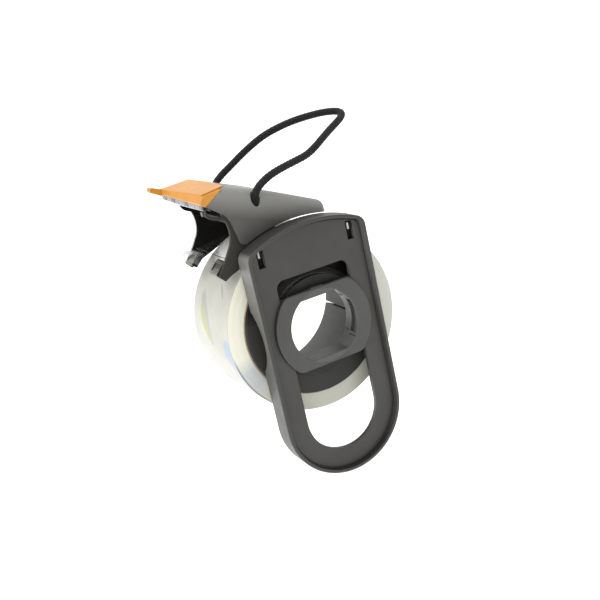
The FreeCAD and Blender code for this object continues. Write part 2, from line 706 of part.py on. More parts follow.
def make_lock_hub():
    body = new_body("lock_hub")
    flange_outline = double_d(size("flange_radius"), size("flange_flat"))
    flange = new_sketch(body, "XZ_Plane", "sizes.flange_rear", flange_outline)
    disc = pad(body, flange, "sizes.flange_front - sizes.flange_rear")

    def flange_corner(edge):
        box = edge.BoundBox
        return box.YLength > 1 and max(box.XLength, box.ZLength) < 0.01

    def front_edge(edge):
        box = edge.BoundBox
        return abs(box.YMin + size("flange_front")) < 0.01 and box.YLength < 0.01

    disc = fillet(body, disc, size("flange_corner"), flange_corner)
    fillet(body, disc, 0.6, front_edge)
    nub = rectangle(-3.4, 20.0, 3.4, 20.9)
    pad(body, new_sketch(body, "XZ_Plane", "sizes.flange_rear + 0.4", nub), "0.8")
    neck = new_round(body, "XZ_Plane", "sizes.collar_front", "sizes.neck_radius")
    pad(body, neck, "sizes.flange_rear - sizes.collar_front")
    collar = new_round(body, "XZ_Plane", "sizes.collar_rear", "sizes.collar_radius")
    pad(body, collar, "sizes.collar_front - sizes.collar_rear")
    sleeve = new_round(body, "XZ_Plane", "sizes.sleeve_rear", "sizes.sleeve_radius")
    pad(body, sleeve, "sizes.collar_rear - sizes.sleeve_rear")
    half_angle = 27.0
    catches = []
    for middle in (0.0, 180.0):
        low = middle - half_angle
        catches += ring_piece(size("bore_radius") + 0.2, size("catch_radius"), low, low + 2 * half_angle)
    catch_base = new_sketch(body, "XZ_Plane", "sizes.catch_rear", catches)
    pad(body, catch_base, "sizes.sleeve_rear - sizes.catch_rear")
    bore_outline = double_d(size("bore_radius"), size("bore_flat"))
    bore = new_sketch(body, "XZ_Plane", "sizes.flange_front", bore_outline)
    last = pocket(body, bore, "sizes.flange_front")

    def bore_edge(edge):
        box = edge.BoundBox
        height = max(abs(box.ZMax), abs(box.ZMin))
        return front_edge(edge) and height < size("bore_flat") + 0.01

    fillet(body, last, 0.4, bore_edge)
    slits = []
    for angle in (-30.0, 30.0, 150.0, 210.0):
        half_wide = size("slit_wide") / 2
        across = Vector(-math.sin(math.radians(angle)), math.cos(math.radians(angle)), 0) * half_wide
        inner = Vector(*on_circle(size("bore_radius") - 3.0, angle), 0)
        outer = Vector(*on_circle(size("catch_radius") + 3.0, angle), 0)
        corners = [inner - across, outer - across, outer + across, inner + across]
        slits += polygon([(corner.x, corner.y) for corner in corners])
    sketch = new_sketch(body, "XZ_Plane", "sizes.collar_rear - 0.5", slits)
    pocket(body, sketch, "sizes.collar_rear")
    recess = ring_piece(size("bore_radius") - 0.6, size("bore_radius") + size("grip_deep"), -31.0, 24.0)
    pocket(body, new_sketch(body, "XZ_Plane", "sizes.grip_front", recess), "sizes.grip_long")
    groove = ring_piece(size("bore_radius") - 0.5, size("bore_radius") + 0.5, -37.4, -35.6)
    pocket(body, new_sketch(body, "XZ_Plane", "sizes.flange_front", groove), "sizes.grip_long")


def make_slide_ring():
    """The ring behind the panel; its two lugs run in the slot, so it slides but can't turn."""
    body = new_body("slide_ring")
    ring = new_round(body, "XZ_Plane", "sizes.ring_rear", "sizes.collar_radius")
    pad(body, ring, "sizes.ring_front - sizes.ring_rear")
    edge = size("slot_half") - 0.1
    lugs = rectangle(14.8, 13.0, edge, 20.0) + rectangle(-edge, 13.0, -14.8, 20.0)
    lug_base = new_sketch(body, "XZ_Plane", "sizes.ring_rear", lugs)
    pad(body, lug_base, "sizes.flange_rear - sizes.ring_rear - 0.15")
    hole = new_round(body, "XZ_Plane", "sizes.flange_rear", "sizes.neck_radius + 0.1")
    pocket(body, hole, "sizes.flange_rear")


def make_wave_spring():
    """A wavy washer, two turns of three waves drawn as one closed ribbon."""
    inner = size("sleeve_radius") + 0.4
    outer = size("collar_radius") - 0.6
    thick = 0.3
    front = size("collar_rear") - 0.2
    travel = 0.9
    waves = 3
    steps = 24
    sections = []
    for step in range(steps):
        angle = 2 * math.pi * step / steps
        y = -(front - travel / 2 + travel / 2 * math.cos(waves * angle))
        corners = [(inner, y), (outer, y), (outer, y + thick), (inner, y + thick)]
        points = [Vector(r * math.cos(angle), v, r * math.sin(angle)) for r, v in corners]
        sections.append(Part.makePolygon(points + points[:1]))
    half = steps // 2
    first = Part.makeLoft(sections[:half + 1], True, False)
    second = Part.makeLoft(sections[half:] + sections[:1], True, False)
    spring = doc.addObject("Part::Feature", "wave_spring")
    spring.Label = "wave_spring"
    spring.Shape = first.fuse(second)
    spring.Placement = Placement()
    NODES.append(spring)


def make_ring(name, inner, outer, near, length):
    """A plain ring about the hub's axis: near and length are expressions along +Y."""
    solids = []
    for part, radius in (("outer", outer), ("inner", inner)):
        cylinder = doc.addObject("Part::Cylinder", name + "_" + part)
        cylinder.setExpression("Radius", radius)
        cylinder.setExpression("Height", length)
        cylinder.Placement = Placement(Vector(0, 0, 0), Rotation(Vector(1, 0, 0), -90))
        cylinder.setExpression(".Placement.Base.y", near)
        solids.append(cylinder)
    ring = doc.addObject("Part::Cut", name)
    ring.Label = name
    ring.Base = solids[0]
    ring.Tool = solids[1]
    NODES.append(ring)


def make_spool_drum():
    """The drum: a flanged front wall that runs on the hub, and spring fingers with barbs."""
    body = new_body("spool_drum")
    front = -size("drum_front")
    wall = size("drum_wall")
    outer = size("drum_outer")
    inner = size("drum_inner")
    flange = size("drum_flange")
    bore = size("drum_bore")
    end = size("drum_end")
    width = size("roll_width")
    profile = polygon([
        (bore, front), (26.6, front), (29.4, -1.6), (flange - 0.5, -1.6), (flange, -1.1), (flange, -0.2),
        (outer, -0.2),
        (outer, width + 0.5), (outer + 1.3, width + 1.8), (outer + 1.3, width + 2.6), (outer - 0.4, end),
        (inner, end), (inner, 0.4), (28.6, 0.4), (25.8, front + wall), (bore, front + wall),
    ])
    sketch = new_sketch(body, "XY_Plane", "0", profile)
    turn = body.newObject("PartDesign::Revolution", "drum_turn")
    turn.Profile = sketch
    turn.ReferenceAxis = (sketch, ["V_Axis"])
    turn.Angle = 360
    doc.recompute()
    gap = size("finger_gap") / 2
    slits = []
    for index in range(6):
        angle = 60.0 * index + 42.0
        across = Vector(-math.sin(math.radians(angle)), math.cos(math.radians(angle)), 0) * gap
        low = Vector(*on_circle(inner - 3.0, angle), 0)
        high = Vector(*on_circle(outer + 4.0, angle), 0)
        slits += polygon([(p.x, p.y) for p in (low - across, high - across, high + across, low + across)])
    sketch = new_sketch(body, "XZ_Plane", "-sizes.drum_end", slits)
    pocket(body, sketch, "sizes.finger_length", along=True)


# -------------------------------------------------------------------------------- tape and cord

def make_tape_lead():
    """The tape's free end: off the roll's top, over the tabs, out to the front."""
    body = new_body("tape_lead")
    lift = size("roll_radius") + 0.35
    thick = 0.3
    path = [(-40.0, 44.8), (-44.6, 43.3), (-48.6, 41.4)]
    reach = math.hypot(*path[0])
    leave = math.degrees(math.atan2(path[0][1], path[0][0]) - math.acos(lift / reach))
    lower = [on_circle(lift, leave - 6), on_circle(lift, leave)] + path
    upper = [on_circle(lift + thick, leave - 6), on_circle(lift + thick, leave)]
    upper += [(x + 0.05, z + thick) for x, z in path]
    film = new_sketch(body, "XZ_Plane", "-0.2", polygon(lower + upper[::-1]))
    pad(body, film, "sizes.roll_width - 0.4", reverse=True)
    margin = new_sketch(body, "XY_Plane", "sizes.roll_radius", rectangle(-60.0, -1.0, -7.0, 3.0))
    pocket(body, margin, "2 * sizes.roll_radius", both=True)


CORD_ROUTE = [
    (-16.7, 3.45, 63.64),
    (-16.7, 0.45, 68.84),
    (-16.7, -1.9, 72.9),
    (-14.4, -2.5, 75.8),
    (-9.6, -2.1, 78.5),
    (-3.2, -0.5, 80.2),
    (4.6, 1.8, 81.2),
    (12.2, 4.1, 81.9),
    (18.8, 6.2, 82.6),
    (25.2, 8.6, 84.6),
    (32.2, 11.4, 87.8),
    (39.6, 14.8, 90.8),
    (47.2, 19.0, 93.1),
    (52.6, 23.2, 95.0),
    (54.0, 27.6, 96.3),
    (51.8, 31.4, 97.2),
    (46.0, 35.6, 97.6),
    (37.4, 39.8, 97.1),
    (29.8, 42.8, 96.1),
    (22.6, 45.3, 94.5),
    (15.6, 47.6, 92.3),
    (9.0, 49.8, 89.0),
    (2.0, 51.8, 84.9),
    (-5.0, 53.1, 80.5),
    (-11.2, 53.8, 77.0),
    (-16.7, 53.1, 72.9),
    (-16.7, 50.75, 68.84),
    (-16.7, 47.75, 63.64),
]


def rounded_path(points):
    """Straight runs joined by tangent arcs, each as large as its two runs allow."""
    corners = []
    for before, here, after in zip(points, points[1:], points[2:]):
        back = before - here
        ahead = after - here
        half_turn = (math.pi - back.getAngle(ahead)) / 2
        shorter = min(back.Length, ahead.Length)
        radius = 0.45 * shorter / math.tan(half_turn)
        reach = 0.45 * shorter
        back.normalize()
        ahead.normalize()
        inward = back + ahead
        inward.normalize()
        centre = here + inward * (radius / math.cos(half_turn))
        middle = centre - inward * radius
        corners.append((here + back * reach, middle, here + ahead * reach, radius, half_turn))
    edges = []
    spot = points[0]
    for start, middle, end, radius, half_turn in corners:
        edges.append(Part.LineSegment(spot, start).toShape())
        edges.append(Part.Arc(start, middle, end).toShape())
        spot = end
    edges.append(Part.LineSegment(spot, points[-1]).toShape())
    radii = [corner[3] for corner in corners]
    turns = [2 * math.degrees(corner[4]) for corner in corners]
    return Part.Wire(edges), radii, turns


def make_cord():
    points = [Vector(*point) for point in CORD_ROUTE]
    path, radii, turns = rounded_path(points)
    radius = size("cord_radius")
    section = Part.Wire([Part.Circle(points[0], points[1] - points[0], radius).toShape()])
    tube = path.makePipeShell([section], True, False)
    expected = math.pi * radius ** 2 * path.Length
    print("cord length %.1f, volume %.0f of %.0f" % (path.Length, tube.Volume, expected))
    print("cord radii", ["%.1f" % value for value in radii])
    print("cord turns", ["%.0f" % value for value in turns])
    cord = doc.addObject("Part::Feature", "elastic_cord")
    cord.Label = "elastic_cord"
    cord.Shape = tube
    cord.Placement = Placement()
    NODES.append(cord)


def make_ferrule(name, side):
    """The crimped sleeve that stops one end of the cord under the hood."""
    ferrule = doc.addObject("Part::Cylinder", name)
    ferrule.Label = name
    ferrule.setExpression("Radius", "sizes.ferrule_radius")
    ferrule.setExpression("Height", "sizes.ferrule_length")
    foot = cord_exit(side, -size("cord_inside") - size("ferrule_length"))
    ferrule.Placement = Placement(foot, Rotation(Vector(0, 0, 1), cord_way(side)))
    NODES.append(ferrule)


# --------------------------------------------------------------------------------------- assembly

make_side_plate()
make_head_frame()
make_seat_holes()
make_hood()
make_nose_cap()
make_blade()
make_blade_clamp()
make_blade_screws()
make_film_guide()
make_tab("near_tab", "-(sizes.head_near + sizes.flank + sizes.web + sizes.tab_gap)", 1)
make_tab("far_tab", "-(sizes.head_far - sizes.flank - sizes.web - sizes.tab_gap)", -1)
make_lock_hub()
make_slide_ring()
make_wave_spring()
make_ring("drag_washer", "sizes.sleeve_radius + 0.1", "sizes.collar_radius",
          "-sizes.drum_front - 0.85", "0.8")
make_spool_drum()
make_ring("cardboard_core", "sizes.core_inner", "sizes.core_outer", "0", "sizes.roll_width")
make_ring("tape_roll", "sizes.core_outer", "sizes.roll_radius", "0", "sizes.roll_width")
make_tape_lead()
make_cord()
make_ferrule("near_ferrule", -1)
make_ferrule("far_ferrule", 1)
doc.recompute()

for item in doc.Objects:
    if {"Invalid", "Error"} & set(item.State):
        raise ValueError(item.Label + " failed: " + ", ".join(item.State))

os.makedirs("parts", exist_ok=True)
for node in NODES:
    shape = node.Shape
    if shape.isNull() or not shape.isValid():
        raise ValueError(node.Label + " has no valid shape")
    print("%-16s solids %d  volume %.0f" % (node.Label, len(shape.Solids), shape.Volume))
    shape.exportStep(os.path.join("parts", node.Label + ".step"))
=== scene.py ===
"""Hand-held tape dispenser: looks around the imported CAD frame.  Metres, same frame as the CAD."""

import json
import math

import bmesh
import bpy
from mathutils import Matrix, Vector


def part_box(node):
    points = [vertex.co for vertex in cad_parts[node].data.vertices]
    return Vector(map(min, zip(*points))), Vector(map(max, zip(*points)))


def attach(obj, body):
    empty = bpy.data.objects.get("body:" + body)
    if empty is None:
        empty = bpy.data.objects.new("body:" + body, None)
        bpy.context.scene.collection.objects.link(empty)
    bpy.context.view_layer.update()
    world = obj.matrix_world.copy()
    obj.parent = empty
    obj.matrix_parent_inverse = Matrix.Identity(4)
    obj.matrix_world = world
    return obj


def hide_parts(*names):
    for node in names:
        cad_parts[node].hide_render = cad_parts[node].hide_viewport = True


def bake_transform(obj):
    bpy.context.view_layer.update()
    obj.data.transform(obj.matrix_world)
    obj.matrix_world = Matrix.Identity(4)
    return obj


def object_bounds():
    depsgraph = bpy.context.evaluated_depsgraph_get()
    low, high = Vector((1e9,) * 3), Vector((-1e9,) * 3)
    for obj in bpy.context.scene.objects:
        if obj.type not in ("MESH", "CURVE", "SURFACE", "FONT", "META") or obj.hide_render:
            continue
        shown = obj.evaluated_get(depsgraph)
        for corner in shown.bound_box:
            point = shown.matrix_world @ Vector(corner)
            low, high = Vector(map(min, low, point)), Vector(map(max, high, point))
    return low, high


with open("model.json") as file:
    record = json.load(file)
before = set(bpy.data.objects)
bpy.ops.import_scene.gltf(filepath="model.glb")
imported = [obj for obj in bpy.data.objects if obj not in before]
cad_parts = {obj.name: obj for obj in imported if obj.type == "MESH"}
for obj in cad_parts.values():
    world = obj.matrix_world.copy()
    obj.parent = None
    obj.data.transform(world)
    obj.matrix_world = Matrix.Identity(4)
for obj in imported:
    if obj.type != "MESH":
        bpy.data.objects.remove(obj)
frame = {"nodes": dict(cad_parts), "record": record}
CAD_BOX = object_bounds()
SCENE = bpy.context.scene
MM = 0.001

# ----------------------------------------------------------------------------------------- camera


def make_camera():
    """The reference viewing angle: from the cutting side, a little above."""
    place = Vector((-0.1935, -0.4390, 0.1573))
    forward = Vector((0.38724, 0.87054, -0.30366)).normalized()
    right = forward.cross(Vector((0.31808, 0.18299, 0.93023))).normalized()
    up = right.cross(forward)
    data = bpy.data.cameras.new("camera")
    data.sensor_width = 36.0
    data.lens = 58.16
    data.shift_x = -0.0246
    data.shift_y = 0.0193
    camera = bpy.data.objects.new("camera", data)
    SCENE.collection.objects.link(camera)
    turn = Matrix((right, up, -forward)).transposed().to_4x4()
    camera.matrix_world = Matrix.Translation(place) @ turn
    SCENE.camera = camera


# ----------------------------------------------------------------------------------- node helpers


class Nodes:
    """A material's node tree, with short calls for the nodes that the finishes share."""

    def __init__(self, name, roughness):
        self.material = bpy.data.materials.new(name)
        self.material.use_nodes = True
        self.tree = self.material.node_tree
        self.shader = self.tree.nodes["Principled BSDF"]
        self.shader.inputs["Roughness"].default_value = roughness
        self.places = self.add("ShaderNodeTexCoord").outputs["Object"]

    def add(self, kind, **settings):
        """A new node, with its properties set."""
        node = self.tree.nodes.new(kind)
        for key, value in settings.items():
            setattr(node, key, value)
        return node

    def link(self, source, target):
        self.tree.links.new(source, target)

    def put(self, socket, value):
        """Joins an output to a socket, or sets the socket to a constant."""
        if isinstance(value, bpy.types.NodeSocket):
            self.link(value, socket)
        else:
            socket.default_value = value

    def sum(self, operation, first, second=0.0, third=0.0):
        """A Math node's result, whatever its operation."""
        node = self.add("ShaderNodeMath", operation=operation)
        for socket, value in zip(node.inputs, (first, second, third)):
            self.put(socket, value)
        return node.outputs[0]

    def noise(self, scale, detail=2.0, roughness=0.5, places=None, stretch=None):
        """A noise's value, about 0.5, by the object's own coordinates if no places are given."""
        source = places or self.places
        if stretch:
            mapping = self.add("ShaderNodeMapping")
            mapping.inputs["Scale"].default_value = stretch
            self.link(source, mapping.inputs["Vector"])
            source = mapping.outputs["Vector"]
        node = self.add("ShaderNodeTexNoise")
        node.inputs["Scale"].default_value = scale
        node.inputs["Detail"].default_value = detail
        node.inputs["Roughness"].default_value = roughness
        self.link(source, node.inputs["Vector"])
        return node.outputs["Fac"]

    def spread(self, value, low, high, to_low, to_high):
        """A value carried from one range to another and held at the ends."""
        node = self.add("ShaderNodeMapRange")
        ends = {"From Min": low, "From Max": high, "To Min": to_low, "To Max": to_high}
        for key, number in ends.items():
            node.inputs[key].default_value = number
        self.put(node.inputs["Value"], value)
        return node.outputs["Result"]

    def blend(self, factor, first, second):
        """A mix of two colours."""
        node = self.add("ShaderNodeMix", data_type="RGBA")
        self.put(node.inputs["Factor"], factor)
        for socket, value in ((node.inputs[6], first), (node.inputs[7], second)):
            self.put(socket, (*value, 1.0) if isinstance(value, tuple) else value)
        return node.outputs[2]

    def bump(self, height, strength, distance, base=None):
        """Normals tilted by a height, over the base normals if any are given."""
        node = self.add("ShaderNodeBump")
        node.inputs["Strength"].default_value = strength
        node.inputs["Distance"].default_value = distance
        self.link(height, node.inputs["Height"])
        if base:
            self.link(base, node.inputs["Normal"])
        return node.outputs["Normal"]

    def rounded(self, radius):
        """Normals rounded over the edges, and a mask that is 1 on the edges themselves."""
        bevel = self.add("ShaderNodeBevel")
        bevel.samples = 6
        bevel.inputs["Radius"].default_value = radius
        shape = self.add("ShaderNodeNewGeometry")
        dot = self.add("ShaderNodeVectorMath", operation="DOT_PRODUCT")
        self.link(bevel.outputs["Normal"], dot.inputs[0])
        self.link(shape.outputs["Normal"], dot.inputs[1])
        return bevel.outputs["Normal"], self.spread(dot.outputs["Value"], 0.995, 0.86, 0.0, 1.0)

    def finish(self, colour=None, normal=None, roughness=None):
        """Joins what is given to the shader and returns the material."""
        if colour is not None:
            self.put(self.shader.inputs["Base Color"], colour)
        if normal is not None:
            self.link(normal, self.shader.inputs["Normal"])
        if roughness is not None:
            self.link(roughness, self.shader.inputs["Roughness"])
        return self.material


# -------------------------------------------------------------------------------------- materials


def moulded_plastic(name, colour, roughness, grain=0.035, wear_and_highlight_gain=1.5, gloss=0.5,
                    shade=None, depth=0.22, pale=None):
    """Spark-textured moulding: fine grain, faint flow marks, edges lighter from scuffing and
    painted highlight.

    shade and pale, if given, return outputs that are 1 where painted shade darkens the moulding, as
    far as depth says, or where it is made pale, on most mouldings as painted light.
    """
    nodes = Nodes(name, roughness)
    nodes.shader.inputs["Specular IOR Level"].default_value = gloss
    normal, edge = nodes.rounded(0.45 * MM)
    flow = nodes.noise(26.0, 3.0, 0.55)
    grime = nodes.noise(180.0, 4.0, 0.6)
    speck = nodes.noise(2600.0, 2.0, 0.6)
    lighter = tuple(min(1.0, value * 1.16) for value in colour)
    darker = tuple(value * 0.86 for value in colour)
    # Edge colour, lighter partly from scuffing and partly as a painted highlight.
    rubbed_and_highlit = tuple(min(1.0, value * wear_and_highlight_gain + 0.012) for value in colour)
    body = nodes.blend(nodes.spread(flow, 0.35, 0.65, 0.0, 1.0), darker, lighter)
    wear_and_highlight = nodes.sum("MULTIPLY", edge, nodes.spread(grime, 0.35, 0.62, 0.15, 0.85))
    body = nodes.blend(wear_and_highlight, body, rubbed_and_highlit)
    # Painted shade, as far as depth says, where the shade mask is 1.
    if shade:
        body = nodes.blend(shade(nodes), body, tuple(value * depth for value in colour))
    # Paler where the pale mask is 1; on most mouldings this is painted light.
    if pale:
        body = nodes.blend(pale(nodes), body, (0.46, 0.46, 0.43))
    sheen = nodes.sum("ADD", nodes.spread(grime, 0.3, 0.7, roughness - 0.05, roughness + 0.07),
                      nodes.spread(speck, 0.3, 0.7, -0.03, 0.03))
    return nodes.finish(body, nodes.bump(speck, grain * 10, 0.03 * MM, normal), sheen)


def polar(nodes):
    """Distance from the hub's axis and the turn about it, as outputs."""
    split = nodes.add("ShaderNodeSeparateXYZ")
    nodes.link(nodes.places, split.inputs[0])
    x, y, z = split.outputs
    squares = nodes.sum("ADD", nodes.sum("MULTIPLY", x, x), nodes.sum("MULTIPLY", z, z))
    return nodes.sum("SQRT", squares), nodes.sum("ARCTAN2", z, x), y


def joined(nodes, *values):
    """Up to three outputs as one vector."""
    node = nodes.add("ShaderNodeCombineXYZ")
    for socket, value in zip(node.inputs, values):
        nodes.put(socket, value)
    return node.outputs[0]


def scaled(nodes, first, first_scale, second, second_scale, third=0.0):
    """Two outputs, each scaled, and a constant, as one vector."""
    return joined(nodes, nodes.sum("MULTIPLY", first, first_scale),
                  nodes.sum("MULTIPLY", second, second_scale), third)


def shaded_inner_faces(nodes):
    """Painted shade: 1 on the faces across Y that lie behind the near arm's outer face."""
    shape = nodes.add("ShaderNodeTexCoord").outputs["Normal"]
    split = nodes.add("ShaderNodeSeparateXYZ")
    nodes.link(shape, split.inputs[0])
    level = nodes.spread(nodes.sum("ABSOLUTE", split.outputs[1]), 0.9, 0.97, 0.0, 1.0)
    across = polar(nodes)[2]
    behind = nodes.sum("ADD", nodes.spread(across, 2.0 * MM, 2.4 * MM, 0.0, 1.0),
                       nodes.spread(across, -6.0 * MM, -6.4 * MM, 0.0, 1.0))
    return nodes.sum("MULTIPLY", level, behind)


def place_and_facing(nodes):
    """Place and normal, each as three outputs."""
    here = nodes.add("ShaderNodeSeparateXYZ")
    nodes.link(nodes.places, here.inputs[0])
    facing = nodes.add("ShaderNodeSeparateXYZ")
    nodes.link(nodes.add("ShaderNodeTexCoord").outputs["Normal"], facing.inputs[0])
    return list(here.outputs), list(facing.outputs)


def shaded_front_wall(nodes):
    """Painted shade on the drum's front wall and flange, thickest above, behind the plate's slot.
    """
    reach, _, across = polar(nodes)
    front = nodes.spread(across, 0.3 * MM, -0.1 * MM, 0.0, 0.72)
    height = place_and_facing(nodes)[0][2]
    above = nodes.sum("MULTIPLY", nodes.spread(height, 8.0 * MM, 16.0 * MM, 0.0, 1.0),
                      nodes.spread(reach, 28.6 * MM, 29.2 * MM, 0.0, 0.28))
    return nodes.sum("ADD", front, above)


def lit_upper_flank(nodes):
    """Painted highlight: pale towards the roof line of the hood."""
    x, _, z = place_and_facing(nodes)[0]
    height = nodes.sum("MULTIPLY_ADD", x, 0.39, z)
    return nodes.spread(height, 53.0 * MM, 68.0 * MM, 0.0, 0.42)


def lit_upper_faces(nodes):
    """Painted light: a little pale on faces that look up."""
    return nodes.spread(place_and_facing(nodes)[1][2], 0.75, 0.95, 0.0, 0.05)


def lit_cutting_side_walls(nodes):
    """Painted light: a little pale on walls that face the cutting edge, most of all high up."""
    here, facing = place_and_facing(nodes)
    wall = nodes.spread(facing[0], -0.6, -0.9, 0.0, 1.0)
    return nodes.sum("MULTIPLY", wall, nodes.spread(here[2], -20.0 * MM, 38.0 * MM, 0.07, 0.22))


def bore_wall(nodes):
    """A little pale inside the hub's bore."""
    return nodes.spread(polar(nodes)[0], 19.6 * MM, 19.1 * MM, 0.0, 0.05)


def tab_shade(nodes):
    """1 on a tab's upper face and inner end; its lower lip stays light."""
    here, facing = place_and_facing(nodes)
    high = nodes.spread(here[2], 40.3 * MM, 40.8 * MM, 0.0, 0.75)
    end = nodes.spread(nodes.sum("ABSOLUTE", facing[1]), 0.75, 0.9, 0.0, 1.0)
    return nodes.sum("MAXIMUM", high, end)


def painted_edge_highlights(nodes):
    """Painted highlights: 1 on the far arm's front edges and on one side of each snap hook's end.
    """
    here, facing = place_and_facing(nodes)
    edge = nodes.sum("MULTIPLY", nodes.spread(facing[0], -0.35, -0.6, 0.0, 1.0),
                     nodes.spread(here[1], 45.0 * MM, 46.0 * MM, 0.0, 0.8))
    from_middle = nodes.sum("ABSOLUTE", nodes.sum("SUBTRACT", here[0], -0.4 * MM))
    beside = nodes.sum("SUBTRACT", from_middle, 25.4 * MM)
    near_side = nodes.sum("MULTIPLY", nodes.sum("SIGN", here[0]), beside)
    hook = nodes.sum("MULTIPLY", nodes.spread(here[1], -11.0 * MM, -11.4 * MM, 0.0, 1.0),
                     nodes.spread(near_side, 0.1 * MM, -0.1 * MM, 0.0, 1.0))
    return nodes.sum("MAXIMUM", edge, hook)


# Generic marks on the tape's backing, most of them print: turn in degrees, place across in mm, half
# sizes along and across, lean in mm per degree, colour, strength. The pale row at 112 degrees is a
# painted highlight and the broad grey row at 225 degrees is painted shade.
TAPE_PRINT_AND_PAINTED_LIGHT = (
    # Painted shade on the roll's lower side, towards the cutting side.
    (225.0, 24.0, 28.0, 60.0, 0.0, (0.33, 0.33, 0.31), 0.70),
    (166.0, 30.6, 18.0, 5.0, -0.36, (0.27, 0.27, 0.26), 0.75),
    (170.5, 32.0, 12.5, 3.3, -0.45, (0.34, 0.35, 0.10), 0.90),
    (183.5, 3.0, 9.5, 7.0, -0.10, (0.24, 0.33, 0.44), 0.85),
    (197.0, 1.5, 8.0, 5.0, -0.20, (0.30, 0.34, 0.42), 0.60),
    (146.0, 14.0, 4.6, 1.2, -0.80, (0.25, 0.25, 0.25), 0.80),
    (214.0, 31.0, 6.0, 15.0, 0.05, (0.16, 0.17, 0.15), 0.75),
    # Painted highlight on the roll's top, towards the cutting side, under the arms and hood.
    (112.0, 24.0, 20.0, 30.0, 0.0, (0.93, 0.93, 0.90), 0.9),
    (118.0, 27.5, 7.0, 5.0, -0.30, (0.06, 0.24, 0.50), 0.95),
    (60.0, 18.0, 16.0, 4.2, -0.20, (0.22, 0.34, 0.50), 0.70),
    (20.0, 34.0, 13.0, 3.4, 0.20, (0.42, 0.42, 0.16), 0.65),
    (320.0, 14.0, 18.0, 4.2, -0.20, (0.22, 0.34, 0.50), 0.70),
    (275.0, 33.0, 15.0, 3.8, 0.20, (0.40, 0.41, 0.18), 0.65),
    (245.0, 12.0, 12.0, 3.8, -0.30, (0.24, 0.35, 0.50), 0.65),
)


# The turn, in radians, about which the roll's near side is tinted blue-grey and its outer rim
# carries a painted shade line.
LOWER_FRONT = -2.69


def wound_tape():
    """Cream film on a roll: turn lines on its sides, pale marks and cross wrinkles outside, painted
    light and shade.
    """
    nodes = Nodes("tape", 0.30)
    reach, turn, across = polar(nodes)
    side_lines = nodes.noise(1.0, 3.0, 0.7, places=scaled(nodes, reach, 5200.0, turn, 0.6))
    wide_lines = nodes.noise(1.0, 1.0, 0.5, places=scaled(nodes, reach, 800.0, turn, 0.4, 3.0))
    clouds = nodes.noise(55.0, 3.0, 0.6)
    outside = nodes.spread(reach, 48.05 * MM, 48.12 * MM, 0.0, 1.0)
    lined = nodes.spread(side_lines, 0.35, 0.65, 0.0, 1.0)
    side = nodes.blend(lined, (0.73, 0.722, 0.60), (0.77, 0.762, 0.64))
    side = nodes.blend(nodes.spread(wide_lines, 0.4, 0.6, 0.0, 0.4), side, (0.75, 0.742, 0.62))
    x, _, z = place_and_facing(nodes)[0]
    # Painted shade: the near side darker towards the right and towards the bottom.
    side = nodes.blend(nodes.spread(x, -30 * MM, 5 * MM, 0.0, 0.85), side, (0.50, 0.51, 0.46))
    side = nodes.blend(nodes.spread(z, -20 * MM, -40 * MM, 0.0, 0.8), side, (0.42, 0.42, 0.36))
    below = nodes.sum("ABSOLUTE", nodes.sum("SUBTRACT", turn, LOWER_FRONT))
    side = nodes.blend(nodes.spread(below, 0.30, 0.10, 0.0, 0.75), side, (0.42, 0.465, 0.50))
    # Painted shade: a dark line along the near side's outer rim, about the same turn.
    rim = nodes.sum("MULTIPLY", nodes.spread(reach, 47.0 * MM, 47.9 * MM, 0.0, 0.8),
                    nodes.spread(below, 0.36, 0.22, 0.0, 1.0))
    side = nodes.blend(rim, side, (0.08, 0.09, 0.09))
    clouded = nodes.spread(clouds, 0.35, 0.65, 0.0, 1.0)
    film = nodes.blend(clouded, (0.37, 0.367, 0.322), (0.415, 0.411, 0.367))
    # Painted shade: the outside darker towards the bottom.
    film = nodes.blend(nodes.spread(z, -12 * MM, -36 * MM, 0.0, 0.45), film, (0.22, 0.225, 0.215))
    edge = nodes.noise(420.0, 2.0, 0.6)
    for degrees, place, half_turn, half_width, lean, colour, strength in TAPE_PRINT_AND_PAINTED_LIGHT:
        signed = degrees if degrees <= 180 else degrees - 360
        away = nodes.sum("SUBTRACT", turn, math.radians(signed))
        away = nodes.sum("ARCTAN2", nodes.sum("SINE", away), nodes.sum("COSINE", away))
        along = nodes.sum("DIVIDE", away, math.radians(half_turn))
        middle = nodes.sum("MULTIPLY_ADD", away, math.degrees(lean) * MM, place * MM)
        aside = nodes.sum("DIVIDE", nodes.sum("SUBTRACT", across, middle), half_width * MM)
        far = nodes.sum("SQRT", nodes.sum("ADD", nodes.sum("MULTIPLY", along, along),
                                          nodes.sum("MULTIPLY", aside, aside)))
        far = nodes.sum("ADD", far, nodes.spread(edge, 0.3, 0.7, -0.12, 0.12))
        film = nodes.blend(nodes.spread(far, 1.05, 0.8, 0.0, strength), film, colour)
    wrinkles = nodes.noise(1.0, 3.0, 0.6, places=scaled(nodes, turn, 26.0, across, 45.0))
    height = nodes.blend(outside, side_lines, wrinkles)
    nodes.shader.inputs["Specular IOR Level"].default_value = 0.25
    nodes.shader.inputs["Coat Weight"].default_value = 0.12
    nodes.shader.inputs["Coat Roughness"].default_value = 0.15
    return nodes.finish(nodes.blend(outside, side, film), nodes.bump(height, 0.2, 0.06 * MM))


